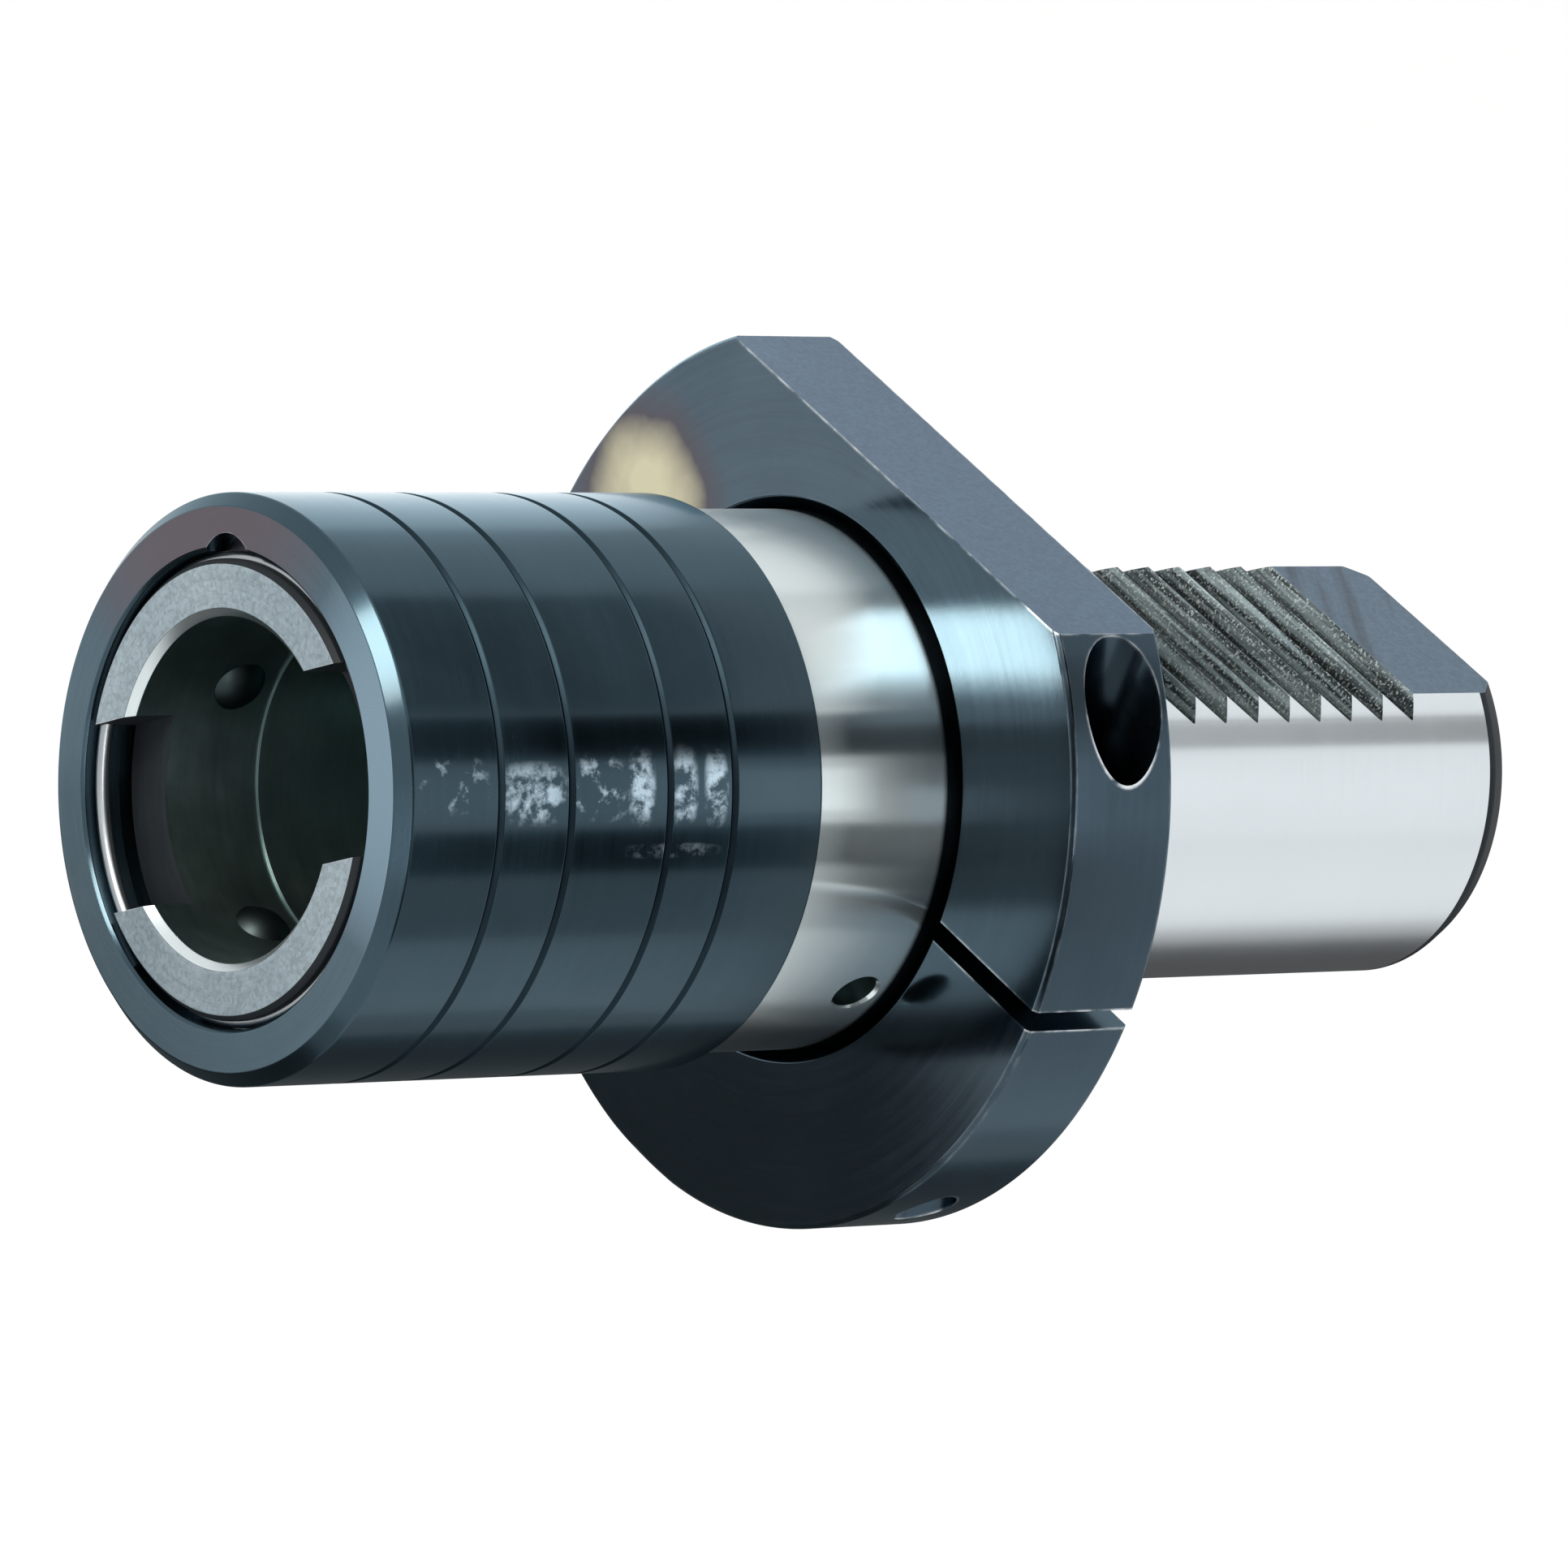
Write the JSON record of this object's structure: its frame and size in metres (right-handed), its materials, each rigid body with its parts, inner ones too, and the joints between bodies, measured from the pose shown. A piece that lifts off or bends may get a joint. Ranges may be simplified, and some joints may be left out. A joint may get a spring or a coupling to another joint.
{
  "type": "vdi tapping chuck",
  "caption": "Static tapping chuck: cylindrical shank with a toothed flat, split clamping flange, guide tube and quick change head with a sliding release sleeve.",
  "frame": {"origin": "on the shank's axis, in the plane of the flange's rear contact face", "axes": "+X along the axis from the head to the shank's end; +Z square to the toothed flat; Y level across"},
  "size_m": [0.1404, 0.085, 0.0746],
  "materials": {
    "holder_steel": "black oxide with ground shank",
    "screw_steel": "black oxide",
    "seal_rubber": "satin",
    "guide_steel": "ground",
    "hard_steel": "hardened",
    "spindle_steel": "satin turned",
    "ring_steel": "bright drawn",
    "spring_steel": "oiled",
    "black_steel": "black oxide",
    "ball_steel": "polished"
  },
  "bodies": {
    "holder": {"vdi_holder": "holder_steel", "clamp_screw": "screw_steel", "flange_seal": "seal_rubber", "guide_tube": "guide_steel", "drive_bush": "hard_steel", "drive_key_1": "hard_steel", "drive_key_2": "hard_steel", "shank_plug": "screw_steel", "plug_seal": "seal_rubber", "push_spring": "spring_steel", "pull_spring": "spring_steel"},
    "spindle": {"spindle": "spindle_steel", "tail_washer": "hard_steel", "lock_nut": "hard_steel", "retaining_ring": "ring_steel"},
    "sleeve_turn": {"sleeve_spring": "spring_steel"},
    "sleeve": {"release_sleeve": "black_steel"},
    "ball_1": {"lock_ball_1": "ball_steel"},
    "ball_2": {"lock_ball_2": "ball_steel"},
    "ball_3": {"lock_ball_3": "ball_steel"},
    "ball_4": {"lock_ball_4": "ball_steel"}
  },
  "joints": [
    {"name": "spindle_slide", "type": "slide", "parent": "holder", "child": "spindle", "axis": [1, 0, 0], "range_m": [-0.01, 0.01], "stiffness_N_per_m": 6000, "deforming": ["push_spring", "pull_spring"]},
    {"name": "sleeve_spin", "type": "hinge", "parent": "spindle", "child": "sleeve_turn", "pos_m": [-0.0565, 0, 0], "axis": [1, 0, 0], "continuous": true},
    {"name": "sleeve_slide", "type": "slide", "parent": "sleeve_turn", "child": "sleeve", "axis": [1, 0, 0], "range_m": [0, 0.0045], "stiffness_N_per_m": 4000, "springref_m": -0.004, "deforming": ["sleeve_spring"]},
    {"name": "ball_1_slide", "type": "slide", "parent": "spindle", "child": "ball_1", "axis": [0, -0.9962, -0.0872], "range_m": [0, 0.0011]},
    {"name": "ball_2_slide", "type": "slide", "parent": "spindle", "child": "ball_2", "axis": [0, 0.0872, -0.9962], "range_m": [0, 0.0011]},
    {"name": "ball_3_slide", "type": "slide", "parent": "spindle", "child": "ball_3", "axis": [0, 0.9962, 0.0872], "range_m": [0, 0.0011]},
    {"name": "ball_4_slide", "type": "slide", "parent": "spindle", "child": "ball_4", "axis": [0, -0.0872, 0.9962], "range_m": [0, 0.0011]}
  ],
  "couplings": [
    {"joint": "ball_1_slide", "follows": "sleeve_slide", "ratio": 0.24444},
    {"joint": "ball_2_slide", "follows": "sleeve_slide", "ratio": 0.24444},
    {"joint": "ball_3_slide", "follows": "sleeve_slide", "ratio": 0.24444},
    {"joint": "ball_4_slide", "follows": "sleeve_slide", "ratio": 0.24444}
  ]
}
